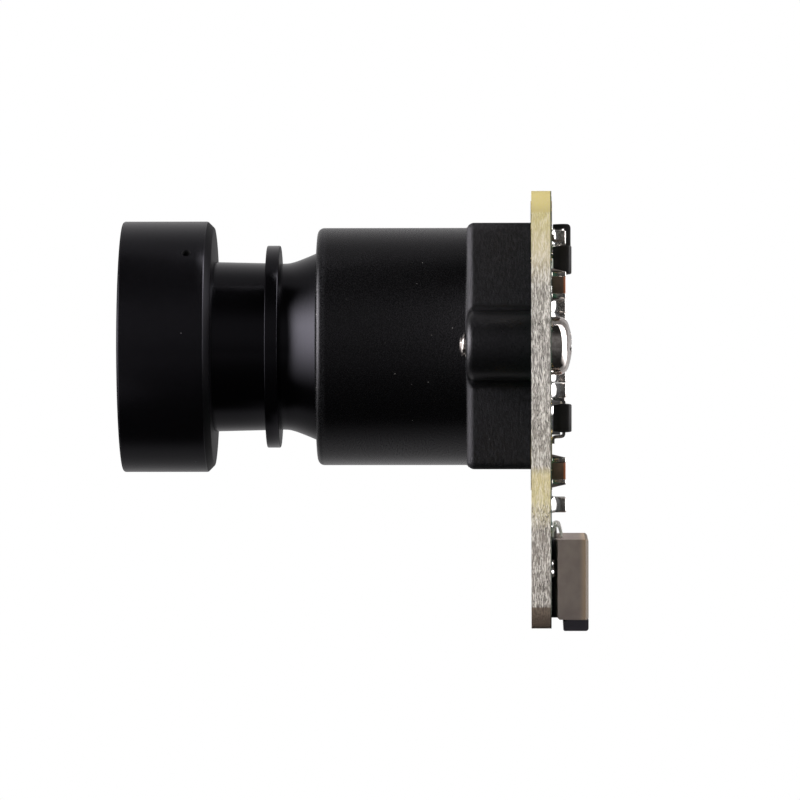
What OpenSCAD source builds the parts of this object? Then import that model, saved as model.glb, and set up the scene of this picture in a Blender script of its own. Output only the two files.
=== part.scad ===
// Camera board with a screw-in M12 lens, a moulded lens holder and a flat-cable connector.
// Frame: +Z is up and the lens points to -Y. The origin is on the optical axis at the
// board's front face, which is also the centre of the four mounting holes.
// Distances in front of the board are called s below, so y = -s.

/* [Circuit board] */
// Board width (X)
board_w = 25; // [22:0.5:30]
// Board height (Z)
board_h = 24; // [20:0.5:30]
// Board thickness
board_t = 1.1; // [0.8:0.05:1.6]
// Radius of the routed board corners
board_corner_r = 1.2; // [0.5:0.1:3]
// Height of the board's top edge above the optical axis
board_top = 8.48; // [7:0.01:12]
// Mounting hole spacing across
hole_dx = 21; // [19:0.5:26]
// Mounting hole spacing in height
hole_dz = 12.5; // [10:0.5:20]
// Mounting hole diameter inside its plating
hole_d = 2.2; // [2:0.1:3.2]
// Diameter of the plated ring round a mounting hole
hole_pad_d = 3.4; // [2.8:0.1:4]

/* [Lens holder] */
// Side of the holder's square base
base_w = 13.7; // [13:0.1:16]
// Depth of the base along the optical axis
base_h = 3.6; // [2.5:0.1:5]
// Outer diameter of the holder's tube
tube_d = 13.4; // [13:0.1:15]
// Distance from the board to the tube's front rim
tube_s = 12.07; // [8:0.01:16]
// Spacing of the two holder screws
screw_spacing = 18; // [16:0.5:22]
// Radius of the ear round each holder screw
ear_r = 1.9; // [1.5:0.1:3]

/* [Lens] */
// Outer diameter of the hood
hood_d = 14.16; // [13:0.02:18]
// Distance from the board to the hood's front rim
hood_front_s = 23.08; // [20:0.01:28]
// Length of the hood along the optical axis
hood_len = 5.17; // [3:0.01:8]
// Diameter of the barrel's ring behind the neck
ring_d = 11.4; // [10:0.1:12]
// Diameter of the part of the barrel that screws into the holder
thread_d = 11.94; // [11.8:0.01:11.98]
// Radial gap between that part and the holder's bore
thread_gap = 0.03; // [0.01:0.01:0.1]

/* [Cable connector] */
// Width of the connector across the board
conn_w = 16.1; // [14:0.1:22]
// Height of the connector above the board's back
conn_h = 2.05; // [1.5:0.05:3]
// Distance below the optical axis of the connector's upper face
conn_top = 10.72; // [9:0.01:12]
// Depth of the connector's housing along Z
conn_depth = 4.44; // [3:0.05:6]
// Number of cable contacts
conn_pins = 22; // [10:1:24]
// Spacing of the cable contacts
conn_pitch = 0.5; // [0.5:0.5:1]

/* [Hidden] */
$fn = 96;
plating = 0.035;
hole_x = hole_dx / 2;
hole_z = hole_dz / 2;
screw_x = screw_spacing / 2;
screw_hole_r = 0.8;
edge_r = 0.42;
bore_r = thread_d / 2 + thread_gap;
cavity_w = 10.6;
cavity_s = 2.6;
filter_w = 7.8;
filter_t = 0.4;
ledge_s = 3.4;
hood_r = hood_d / 2;
hood_rear_s = hood_front_s - hood_len;
neck_r = 4.73;
waist_r = 4.66;
optic_r = 3.9;
front_bore_r = 6;
optic_gap = 0.02;
conn_z = -conn_top - conn_depth / 2;
conn_bottom = -conn_top - conn_depth;
conn_lift = 0.34;
latch_lip = 0.62;
pcb_green = [0.05, 0.2, 0.12];
black_plastic = [0.06, 0.06, 0.07];
black_metal = [0.05, 0.05, 0.055];
tin = [0.82, 0.82, 0.8];
gold = [0.85, 0.68, 0.3];
nickel = [0.78, 0.77, 0.74];
glass_tint = [0.6, 0.75, 0.8, 0.4];

// Back-side parts as [x, z, turn about Y]: turn 0 lies along X, turn 90 along Z.
regulators = [[6.4, 4.77, 0], [6.4, -4, 0], [-6.45, 5.6, 90]];
capacitors_0603 = [
  [3, 6.08, 0], [8.35, 3.36, 90], [5.6, 2.23, 0], [5.6, 1.4, 0], [5.6, -1.64, 0],
  [8.55, -2.46, 0], [7.6, -6.93, 90], [6.1, -8.84, 0], [-6.2, -9, 0], [-7.4, 2.6, 90],
  [-5.2, 2.2, 0], [-5.2, -3.2, 0]
];
capacitors_0402 = [
  [0.6, 6, 90], [-0.7, 6, 90], [-2.3, 6, 90], [2.7, 3.2, 0], [2.7, 2.2, 0],
  [2.9, -2.6, 0], [2.9, -3.6, 0], [-2.6, 3.4, 0], [-5.2, 0.9, 0], [-5.2, -0.1, 0],
  [3.2, -8.9, 0], [1.55, -8.95, 0], [-0.1, -8.95, 0], [-3.4, -8.95, 0], [-9.6, 3.6, 90]
];
resistors_0402 = [
  [0.6, -7, 90], [-0.7, -7, 90], [-2, -7, 90], [-2.6, 4.4, 0], [-5.2, -1.6, 0],
  [-1.75, -8.95, 0], [-7.6, -4.4, 90], [-6.4, -4.4, 90], [3.2, 4.6, 90]
];
oscillator = [0, -3.98];

// Points of an arc in a plane, in steps fine enough to read as round
function arc(cx, cy, r, from, to, n = 6) =
  [for (i = [0:n]) let (a = from + (to - from) * i / n) [cx + r * cos(a), cy + r * sin(a)]];

// Points of a shallow spherical surface: radius out from r_edge to the axis, apex at s_apex
function dome(r_edge, s_edge, s_apex, n = 10) =
  [for (i = [0:n]) let (r = r_edge * (1 - i / n)) [r, s_apex + (s_edge - s_apex) * pow(r / r_edge, 2)]];

// The same surface from the axis out to its edge
function cup(r_edge, s_edge, s_apex, n = 10) =
  [for (i = [0:n]) let (r = r_edge * i / n) [r, s_apex + (s_edge - s_apex) * pow(r / r_edge, 2)]];

// Local z becomes s, the distance in front of the board; local y becomes Z
module in_front() {
  rotate([90, 0, 0]) children();
}

// Local z becomes the distance behind the board's back face; local y becomes Z
module behind() {
  translate([0, board_t, 0]) rotate([90, 0, 0]) mirror([0, 0, 1]) children();
}

// A profile drawn in (Z, Y) and drawn out along X about the middle
module across(w) {
  rotate([0, -90, 0]) linear_extrude(w, center = true) children();
}

module round_rect(w, h, r) {
  square([w - 2 * r, h], center = true);
  square([w, h - 2 * r], center = true);
  for (x = [-1, 1], y = [-1, 1])
    translate([x * (w / 2 - r), y * (h / 2 - r)]) circle(r);
}

// A block's side profile standing on y = 0, its two top corners rounded
module round_top(w, h, r) {
  translate([-w / 2, 0]) square([w, h - r]);
  translate([-w / 2 + r, 0]) square([w - 2 * r, h]);
  for (x = [-1, 1]) translate([x * (w / 2 - r), h - r]) circle(r);
}

// ---- circuit board ----

module circuit_board() {
  color(pcb_green)
  in_front()
  translate([0, 0, -board_t])
  linear_extrude(board_t)
  difference() {
    translate([0, board_top - board_h / 2]) round_rect(board_w, board_h, board_corner_r);
    for (x = [-1, 1], z = [-1, 1])
      translate([x * hole_x, z * hole_z]) circle(hole_d / 2 + plating);
    for (x = [-1, 1]) translate([x * screw_x, 0]) circle(screw_hole_r + 0.1);
  }
}

module hole_plating() {
  color(gold)
  in_front()
  for (x = [-1, 1], z = [-1, 1])
    translate([x * hole_x, z * hole_z, 0])
    difference() {
      union() {
        translate([0, 0, -board_t - plating]) cylinder(d = hole_d + 2 * plating, h = board_t + 2 * plating);
        cylinder(d = hole_pad_d, h = plating);
        translate([0, 0, -board_t - plating]) cylinder(d = hole_pad_d, h = plating);
      }
      translate([0, 0, -board_t - 1]) cylinder(d = hole_d, h = board_t + 2);
    }
}

// ---- lens holder and its screws ----

module holder_base() {
  intersection() {
    in_front() linear_extrude(base_h) round_rect(base_w, base_w, 0.2);
    rotate([180, 0, 0]) across(base_w + 1) round_top(base_w, base_h, edge_r);
    in_front() rotate([90, 0, 0]) linear_extrude(base_w + 1, center = true) round_top(base_w, base_h, edge_r);
  }
}

module holder_ear() {
  web = screw_x - base_w / 2;
  fillet = 0.55;
  in_front()
  rotate_extrude()
  intersection() {
    round_top(2 * ear_r, base_h, edge_r);
    square([ear_r, base_h]);
  }
  translate([-web / 2 - 0.2, 0, 0])
    rotate([180, 0, 0]) across(web + 0.4) round_top(2 * ear_r, base_h, edge_r);
  in_front()
  linear_extrude(base_h - edge_r)
  for (z = [-1, 1])
    mirror([0, z > 0 ? 0 : 1])
    translate([-web, ear_r])
    difference() {
      square(fillet);
      translate([fillet, fillet]) circle(fillet);
    }
}

module holder_tube() {
  rim = 0.38;
  in_front()
  rotate_extrude()
  polygon(concat(
    [[bore_r - 1, base_h - 0.2], [tube_d / 2, base_h - 0.2]],
    arc(tube_d / 2 - rim, tube_s - rim, rim, 0, 90),
    [[bore_r + 0.1, tube_s], [bore_r, tube_s - 0.12], [bore_r - 1, tube_s - 0.12]]
  ));
}

module lens_holder() {
  color(black_plastic)
  difference() {
    union() {
      holder_base();
      for (x = [0, 1]) mirror([x, 0, 0]) translate([screw_x, 0, 0]) holder_ear();
      holder_tube();
    }
    in_front() translate([0, 0, ledge_s]) cylinder(r = bore_r, h = tube_s);
    in_front() translate([0, 0, -1]) linear_extrude(cavity_s + 1) round_rect(cavity_w, cavity_w, 0.6);
    in_front() linear_extrude(cavity_s + filter_t) round_rect(filter_w + 0.1, filter_w + 0.1, 0.2);
    in_front() linear_extrude(ledge_s + 1) round_rect(6.8, 6.2, 0.5);
    for (x = [-1, 1])
      in_front() translate([x * screw_x, 0, -1]) cylinder(r = screw_hole_r, h = base_h + 2);
  }
}

module holder_screw() {
  head_r = 1.63;
  head_h = 1.14;
  tip = 0.35;
  point = 0.3;
  behind()
  difference() {
    rotate_extrude()
    polygon(concat(
      [[0, -board_t - base_h - tip], [screw_hole_r - point, -board_t - base_h - tip],
       [screw_hole_r, -board_t - base_h - tip + point], [screw_hole_r, 0], [head_r, 0]],
      arc(head_r - 0.2, 0.64, 0.2, 0, 55),
      dome(1.54, 0.8, head_h)
    ));
    for (a = [0, 90])
      rotate([0, 0, a]) translate([0, 0, head_h - 0.6]) cube([0.85, 0.34, 1]);
    for (a = [0, 90])
      rotate([0, 0, a + 180]) translate([0, -0.34, head_h - 0.6]) cube([0.85, 0.34, 1]);
  }
}

module holder_screws() {
  color(nickel)
  for (x = [-1, 1]) translate([x * screw_x, 0, 0]) holder_screw();
}

module ir_filter() {
  color([0.45, 0.7, 0.72, 0.5])
  in_front() translate([0, 0, cavity_s]) linear_extrude(filter_t) square(filter_w, center = true);
}

// ---- image sensor ----

module sensor_solder() {
  color(tin)
  in_front()
  for (x = [-3:3], z = [-3:3])
    translate([x * 1.1, z * 1.1, 0]) cylinder(r = 0.2, h = 0.14, $fn = 16);
}

module sensor_package() {
  color([0.1, 0.11, 0.12])
  in_front()
  difference() {
    translate([0, 0, 0.14]) linear_extrude(0.55) square(8.5, center = true);
    translate([0, 0, 0.5]) linear_extrude(1) square([5.4, 4.8], center = true);
  }
}

module sensor_die() {
  color([0.25, 0.2, 0.35])
  in_front() translate([0, 0, 0.5]) linear_extrude(0.12) square([4.9, 4.3], center = true);
}

module sensor_glass() {
  color(glass_tint)
  in_front() translate([0, 0, 0.69]) linear_extrude(0.45) square(8, center = true);
}

// ---- lens: barrel and rings ----

module lens_barrel() {
  back = 4.6;
  color(black_metal)
  in_front()
  difference() {
    rotate_extrude()
    polygon(concat(
      [[thread_d / 2 - 0.3, back], [thread_d / 2, back + 0.3], [thread_d / 2, 10.55],
       [5.165, 12.4], [4.915, 13.02], [4.775, 13.42], [4.7, 13.8], [4.69, 14.18]],
      arc(ring_d / 2 - 0.1, 14.28, 0.1, -90, 0),
      arc(ring_d / 2 - 0.1, 14.83, 0.1, 0, 90),
      [[waist_r, 14.93], [neck_r, hood_rear_s], [hood_r - 0.36, hood_rear_s], [hood_r, hood_rear_s + 0.36]],
      arc(hood_r - 0.15, hood_front_s - 0.15, 0.15, 0, 90),
      [[front_bore_r + 0.45, hood_front_s], [front_bore_r, hood_front_s - 0.45], [front_bore_r, 19],
       [optic_r, 19], [optic_r, 15.2], [2.7, 15.2], [2.7, 14.9], [optic_r, 14.9],
       [optic_r, 6.2], [4.9, back]]
    ));
    rotate([0, 0, 47.5])
      translate([hood_r + 0.2, 0, 19.3]) rotate([0, -90, 0]) cylinder(r = 0.27, h = 0.5, $fn = 24);
  }
}

// A threaded ring with two spanner notches in its outer face
module retaining_ring(r_out, r_in_near, r_in_far, s_near, s_far) {
  in_front()
  difference() {
    rotate_extrude()
    polygon([[r_in_near, s_near], [r_out, s_near], [r_out, s_far], [r_in_far, s_far]]);
    for (a = [0, 180])
      rotate([0, 0, a + 30])
      translate([min(r_in_near, r_in_far) - 0.3, -0.4, max(s_near, s_far) - 0.45])
      cube([0.85, 0.8, 1]);
  }
}

module front_retainer() {
  color(black_metal)
  retaining_ring(front_bore_r, 4.75, 5.35, 21.5, 22.6);
}

module rear_retainer() {
  color(black_metal)
  in_front()
  difference() {
    rotate_extrude()
    polygon([[2.9, 7.2], [optic_r, 7.2], [optic_r, 8.28], [2.6, 8.28]]);
    for (a = [0, 180])
      rotate([0, 0, a]) translate([2.4, -0.4, 7]) cube([0.95, 0.8, 0.6]);
  }
}

// ---- lens: glass, spacers and stop, all round about the optical axis ----

module element(r, points) {
  color(glass_tint)
  in_front() rotate_extrude() polygon(points);
}

module front_element() {
  r = front_bore_r - optic_gap;
  element(r, concat(
    cup(3.6, 19.02, 20.2), [[r, 19.02], [r, 21.48], [4.7, 21.48]], dome(4.7, 21.48, 22.45)
  ));
}

module second_element() {
  r = optic_r - optic_gap;
  element(r, concat(cup(3, 15.22, 15.9), [[r, 15.22], [r, 17.2], [3.3, 17.2]], dome(3.3, 17.2, 17.65)));
}

module cemented_doublet() {
  r = optic_r - optic_gap;
  element(r, concat(cup(3.3, 12.3, 11.9), [[r, 12.3], [r, 14.3], [3.3, 14.3]], dome(3.3, 14.3, 14.62)));
}

module rear_element() {
  r = optic_r - optic_gap;
  element(r, concat(cup(2.5, 8.3, 8), [[r, 8.3], [r, 10.8], [3.3, 10.8]], dome(3.3, 10.8, 11.3)));
}

module spacer(r_in, s_near, s_far) {
  color(black_metal)
  in_front()
  rotate_extrude()
  translate([r_in, s_near]) square([optic_r - optic_gap - r_in, s_far - s_near]);
}

module front_spacer() {
  spacer(3.35, 17.2, 18.98);
}

module aperture_stop() {
  color(black_metal)
  in_front()
  rotate_extrude()
  polygon([[1.2, 14.8], [1.35, 14.72], [3.4, 14.72], [3.4, 14.3], [optic_r - optic_gap, 14.3],
    [optic_r - optic_gap, 14.88], [1.35, 14.88]]);
}

module rear_spacer() {
  spacer(3.35, 10.8, 12.3);
}

// ---- parts on the board's back ----

module place(list) {
  behind()
  for (p = list) translate([p[0], p[1], 0]) rotate([0, 0, p[2]]) children();
}

// Small-outline regulator: 2.9 x 1.6 body with sloping sides on a 2.8 lead span
module regulator_body() {
  rotate([90, 0, 90])
  linear_extrude(2.9, center = true)
  polygon([[-0.72, 0.1], [0.72, 0.1], [0.8, 0.6], [0.8, 0.78],
    [0.72, 1.1], [-0.72, 1.1], [-0.8, 0.78], [-0.8, 0.6]]);
}

module regulator_lead() {
  rotate([90, 0, 90])
  linear_extrude(0.4, center = true)
  polygon([[0.8, 0.61], [0.93, 0.6], [0.98, 0.5], [1.02, 0.02], [1.42, 0.02], [1.42, 0.15], [1.17, 0.17],
    [1.12, 0.64], [1.04, 0.75], [0.95, 0.77], [0.8, 0.77]]);
}

module regulator_bodies() {
  color([0.07, 0.07, 0.07])
  place(regulators) regulator_body();
}

module regulator_leads() {
  color(tin)
  place(regulators) {
    for (x = [-0.95, 0, 0.95]) translate([x, 0, 0]) regulator_lead();
    for (x = [-0.95, 0.95]) translate([x, 0, 0]) rotate([0, 0, 180]) regulator_lead();
  }
}

// Chip part: a body between two end caps
module chip_body(l, w, h, cap) {
  translate([-l / 2 + cap, -w / 2 + 0.02, 0.02]) cube([l - 2 * cap, w - 0.04, h - 0.04]);
}

module chip_caps(l, w, h, cap) {
  for (x = [0, 1]) mirror([x, 0, 0]) translate([l / 2 - cap, -w / 2, 0]) cube([cap, w, h]);
}

// Sloping solder at both ends of a chip part
module chip_fillets(l, w, h, reach) {
  for (x = [0, 1])
    mirror([x, 0, 0])
    translate([l / 2, 0, 0])
    rotate([90, 0, 0])
    linear_extrude(w, center = true)
    polygon([[0, 0], [reach, 0], [reach, 0.04], [reach * 0.35, h * 0.28], [0.02, h * 0.7], [0, h * 0.7]]);
}

module capacitor_bodies() {
  color([0.3, 0.2, 0.15])
  place(capacitors_0603) chip_body(1.5, 0.8, 0.8, 0.3);
}

module capacitor_caps() {
  color(tin)
  place(capacitors_0603) chip_caps(1.5, 0.8, 0.8, 0.3);
}

module small_capacitor_bodies() {
  color([0.42, 0.32, 0.24])
  place(capacitors_0402) chip_body(1, 0.5, 0.5, 0.22);
}

module small_capacitor_caps() {
  color(tin)
  place(capacitors_0402) chip_caps(1, 0.5, 0.5, 0.22);
}

module resistor_bodies() {
  color([0.85, 0.84, 0.8])
  place(resistors_0402) chip_body(1, 0.5, 0.33, 0.2);
}

module resistor_caps() {
  color(tin)
  place(resistors_0402) chip_caps(1, 0.5, 0.35, 0.2);
}

module resistor_elements() {
  color([0.05, 0.05, 0.05])
  place(resistors_0402) translate([-0.3, -0.21, 0.31]) cube([0.6, 0.42, 0.04]);
}

module oscillator_base() {
  color([0.2, 0.2, 0.22])
  behind() translate([oscillator[0], oscillator[1], 0]) linear_extrude(0.5) round_rect(2.5, 2, 0.15);
}

module oscillator_lid() {
  color([0.8, 0.75, 0.6])
  behind() translate([oscillator[0], oscillator[1], 0.5]) linear_extrude(0.3) round_rect(2.2, 1.7, 0.3);
}

module solder_fillets() {
  color(tin) {
    place(capacitors_0603) chip_fillets(1.5, 0.78, 0.8, 0.18);
    place(capacitors_0402) chip_fillets(1, 0.48, 0.5, 0.15);
    place(resistors_0402) chip_fillets(1, 0.48, 0.35, 0.15);
  }
}

// ---- flat-cable connector ----

pin_span = (conn_pins - 1) * conn_pitch;
cable_w = pin_span + 1.1;
pin_w = 0.4 * conn_pitch;
floor_y = 0.25;
slot_h = 0.93;
beam_t = 0.1;

module each_pin() {
  for (i = [0:conn_pins - 1]) translate([-pin_span / 2 + i * conn_pitch, 0, 0]) children();
}

module contact_path() {
  top = -conn_top;
  rotate([90, 0, 90])
  linear_extrude(pin_w, center = true)
  polygon([[top + 0.05, 0], [top + 0.46, 0], [top + 0.65, 0.1], [top + 0.74, 0.26], [top + 0.72, 0.42],
    [top + 0.6, 0.52], [top + 0.1, 0.62], [top - 0.5, 0.62], [top - 0.9, floor_y + beam_t],
    [top - 3.6, floor_y + beam_t], [top - 3.6, floor_y], [top - 0.9, floor_y], [top - 0.55, 0.5],
    [top + 0.1, 0.5], [top + 0.5, 0.41], [top + 0.6, 0.36], [top + 0.61, 0.24], [top + 0.54, 0.15],
    [top + 0.42, 0.11], [top + 0.05, 0.11]]);
}

// The housing's solid shape: chamfered outer edges, and a raised underside at its two ends
module housing_block() {
  top = -conn_top;
  cut = 0.16;
  intersection() {
    rotate([90, 0, 90])
    linear_extrude(conn_w, center = true)
    polygon([[top, conn_lift], [top, conn_h - 0.1], [top - 0.1, conn_h], [conn_bottom + 0.1, conn_h],
      [conn_bottom, conn_h - 0.1], [conn_bottom, conn_lift + 0.1], [conn_bottom + 0.1, conn_lift]]);
    translate([0, conn_z, 0])
      rotate([90, 0, 0])
      linear_extrude(2 * conn_depth, center = true)
      polygon([[-conn_w / 2, 0], [-conn_w / 2, conn_h - cut], [-conn_w / 2 + cut, conn_h],
        [conn_w / 2 - cut, conn_h], [conn_w / 2, conn_h - cut], [conn_w / 2, 0]]);
  }
  translate([0, conn_z + 0.05, 0])
    linear_extrude(conn_lift + 0.1) square([conn_w - 1.4, conn_depth - 0.1], center = true);
}

module connector_housing() {
  color([0.42, 0.39, 0.36])
  behind()
  difference() {
    housing_block();
    // cable slot, open at the lower face
    translate([-cable_w / 2, conn_bottom - 1, floor_y]) cube([cable_w, conn_depth, slot_h]);
    // tracks for the latch's side arms, closed off by the end walls
    for (x = [0, 1])
      mirror([x, 0, 0]) translate([conn_w / 2 - 1.06, conn_bottom - 1, 0.85]) cube([0.66, 3.4, 0.66]);
    // a passage for each contact, and a moulding recess above it in the outer face
    each_pin() translate([-pin_w / 2, -conn_top - 1.2, floor_y]) cube([pin_w, 2, 0.62 - floor_y]);
    each_pin() translate([-0.6 * pin_w, -conn_top - 2.3, conn_h - 0.25]) cube([1.2 * pin_w, 1.7, 1]);
    // lead-in at the cable mouth
    translate([-cable_w / 2, conn_bottom, 0])
      rotate([90, 0, 90])
      linear_extrude(cable_w)
      polygon([[-1, floor_y - 0.06], [-1, 1], [0.3, 1], [0.3, floor_y], [0, floor_y - 0.06]]);
  }
}

module connector_contacts() {
  color(gold)
  behind() each_pin() contact_path();
}

module connector_anchors() {
  color(tin)
  behind()
  for (x = [0, 1])
    mirror([x, 0, 0]) {
      translate([conn_w / 2 - 0.7, -12.8, 0]) cube([0.85, 0.95, 0.13]);
      translate([conn_w / 2 - 0.7, -12.8, 0]) cube([0.14, 0.95, conn_lift]);
    }
}

module connector_latch() {
  gap = 0.03;
  tongue_h = 0.48;
  tongue_z = 2.75;
  tongue_y = floor_y + slot_h - tongue_h - gap;
  color(black_plastic)
  behind() {
    translate([0, conn_bottom, 0])
    rotate([90, 0, 90])
    linear_extrude(conn_w, center = true)
    polygon(concat(
      [[-0.01, 0.65 + 0.2], [-0.01, conn_h]],
      arc(-latch_lip + 0.16, conn_h - 0.16, 0.16, 90, 180),
      arc(-latch_lip + 0.1, 0.75, 0.1, 180, 270),
      [[-0.2, 0.65]]
    ));
    translate([-cable_w / 2 + 0.05, conn_bottom - 0.2, tongue_y])
      cube([cable_w - 0.1, tongue_z + 0.2, tongue_h]);
    for (x = [0, 1])
      mirror([x, 0, 0]) translate([conn_w / 2 - 1.01, conn_bottom - 0.2, 0.89]) cube([0.56, 2.4, 0.58]);
  }
}

circuit_board();
hole_plating();
lens_holder();
holder_screws();
ir_filter();
sensor_solder();
sensor_package();
sensor_die();
sensor_glass();
lens_barrel();
front_retainer();
rear_retainer();
front_element();
front_spacer();
second_element();
aperture_stop();
cemented_doublet();
rear_spacer();
rear_element();
regulator_bodies();
regulator_leads();
capacitor_bodies();
capacitor_caps();
small_capacitor_bodies();
small_capacitor_caps();
resistor_bodies();
resistor_caps();
resistor_elements();
oscillator_base();
oscillator_lid();
solder_fillets();
connector_housing();
connector_contacts();
connector_anchors();
connector_latch();
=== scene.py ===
"""Looks of a small camera board: lens, moulded holder, circuit board and the parts on its back.

The row frame is used throughout: +Z up, the lens towards -Y. Lengths are in millimetres and are
scaled by MM when a mesh is made. s is the distance in front of the board, so y = -s.
"""

from math import atan2, ceil, cos, pi, radians, sin, sqrt
import random

import bmesh
import bpy
from mathutils import Matrix, Vector


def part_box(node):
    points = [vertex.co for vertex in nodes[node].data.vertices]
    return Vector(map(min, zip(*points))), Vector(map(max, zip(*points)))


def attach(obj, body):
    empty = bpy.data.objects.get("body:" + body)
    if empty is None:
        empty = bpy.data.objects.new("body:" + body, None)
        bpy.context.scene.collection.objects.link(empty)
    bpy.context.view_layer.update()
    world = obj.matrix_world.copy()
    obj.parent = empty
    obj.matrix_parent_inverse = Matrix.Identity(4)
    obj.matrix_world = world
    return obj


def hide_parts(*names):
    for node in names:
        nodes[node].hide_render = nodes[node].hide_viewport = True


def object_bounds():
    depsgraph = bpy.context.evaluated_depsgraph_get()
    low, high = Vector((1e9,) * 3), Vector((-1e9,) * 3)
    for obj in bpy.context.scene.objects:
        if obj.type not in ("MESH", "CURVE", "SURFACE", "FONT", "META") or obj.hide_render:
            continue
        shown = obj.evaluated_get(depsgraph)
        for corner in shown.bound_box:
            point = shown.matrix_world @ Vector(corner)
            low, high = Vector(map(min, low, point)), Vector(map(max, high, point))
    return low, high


MM = 0.001
TURN = 2 * pi

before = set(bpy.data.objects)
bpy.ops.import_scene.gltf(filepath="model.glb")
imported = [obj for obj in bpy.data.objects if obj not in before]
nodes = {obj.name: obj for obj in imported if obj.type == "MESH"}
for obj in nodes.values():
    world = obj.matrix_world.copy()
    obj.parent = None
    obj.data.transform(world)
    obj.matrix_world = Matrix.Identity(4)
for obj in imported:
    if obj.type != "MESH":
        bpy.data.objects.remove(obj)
cad_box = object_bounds()


# ---------------- measures from the CAD model


def size_mm(node):
    lo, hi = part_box(node)
    return Vector(lo) / MM, Vector(hi) / MM


board_lo, board_hi = size_mm("circuit_board")
holder_lo, holder_hi = size_mm("lens_holder")
barrel_lo, barrel_hi = size_mm("lens_barrel")
conn_lo, conn_hi = size_mm("connector_housing")
screws_lo, screws_hi = size_mm("holder_screws")

BOARD_BACK = board_hi.y
TUBE_S, TUBE_R, BORE_R = -holder_lo.y, 6.7, 6.02
BASE_S, BASE_HALF, LEDGE_S = 3.6, (holder_hi.z - holder_lo.z) / 2, 3.4
HOOD_S, HOOD_R, HOOD_LENGTH = -barrel_lo.y, (barrel_hi.x - barrel_lo.x) / 2, 5.17
BARREL_REAR_S, BARREL_BORE_R = -barrel_hi.y, 3.9
THREAD_R, THREAD_PITCH = 5.97, 0.5
SCREW_HEAD_R = 1.63
SCREW_X = (screws_hi.x - screws_lo.x) / 2 - SCREW_HEAD_R
# copper and print start this far inside the board, so that no two faces coincide
SINK = 0.002


def islands(node):
    """Boxes (lo, hi) in millimetres of the separate solids in a CAD node."""
    bm = bmesh.new()
    bm.from_mesh(nodes[node].data)
    bmesh.ops.remove_doubles(bm, verts=bm.verts, dist=1e-7)
    left, found = set(bm.verts), []
    while left:
        todo, group = [left.pop()], []
        while todo:
            v = todo.pop()
            group.append(v.co)
            for e in v.link_edges:
                other = e.other_vert(v)
                if other in left:
                    left.remove(other)
                    todo.append(other)
        lo = Vector([min(c[i] for c in group) for i in range(3)]) / MM
        hi = Vector([max(c[i] for c in group) for i in range(3)]) / MM
        found.append((lo, hi))
    bm.free()
    return sorted(found, key=lambda b: tuple(b[0]))


# ---------------- procedural finishes


class Nodes:
    """A node tree being built."""

    def __init__(self, owner):
        owner.use_nodes = True
        self.tree = owner.node_tree
        self.tree.nodes.clear()

    def node(self, kind, **values):
        n = self.tree.nodes.new(kind)
        for key, value in values.items():
            setattr(n, key, value)
        return n

    def feed(self, socket, value):
        if isinstance(value, bpy.types.NodeSocket):
            self.tree.links.new(value, socket)
        elif isinstance(value, tuple) and len(value) == 3 and socket.type == "RGBA":
            socket.default_value = (*value, 1)
        else:
            socket.default_value = value

    def maths(self, operation, a, b=0.0):
        n = self.node("ShaderNodeMath", operation=operation)
        self.feed(n.inputs[0], a)
        self.feed(n.inputs[1], b)
        return n.outputs[0]

    def rest(self, share):
        return self.maths("SUBTRACT", 1.0, share)

    def total(self, *terms):
        result = terms[0]
        for term in terms[1:]:
            result = self.maths("ADD", result, term)
        return result

    def product(self, *terms):
        result = terms[0]
        for term in terms[1:]:
            result = self.maths("MULTIPLY", result, term)
        return result

    def remap(self, value, low, high, to_low=0.0, to_high=1.0):
        n = self.node("ShaderNodeMapRange", interpolation_type="SMOOTHSTEP")
        self.feed(n.inputs["Value"], value)
        limits = {"From Min": low, "From Max": high, "To Min": to_low, "To Max": to_high}
        for key, number in limits.items():
            n.inputs[key].default_value = number
        return n.outputs[0]

    def split(self, vector):
        n = self.node("ShaderNodeSeparateXYZ")
        self.feed(n.inputs[0], vector)
        return n.outputs


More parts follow.
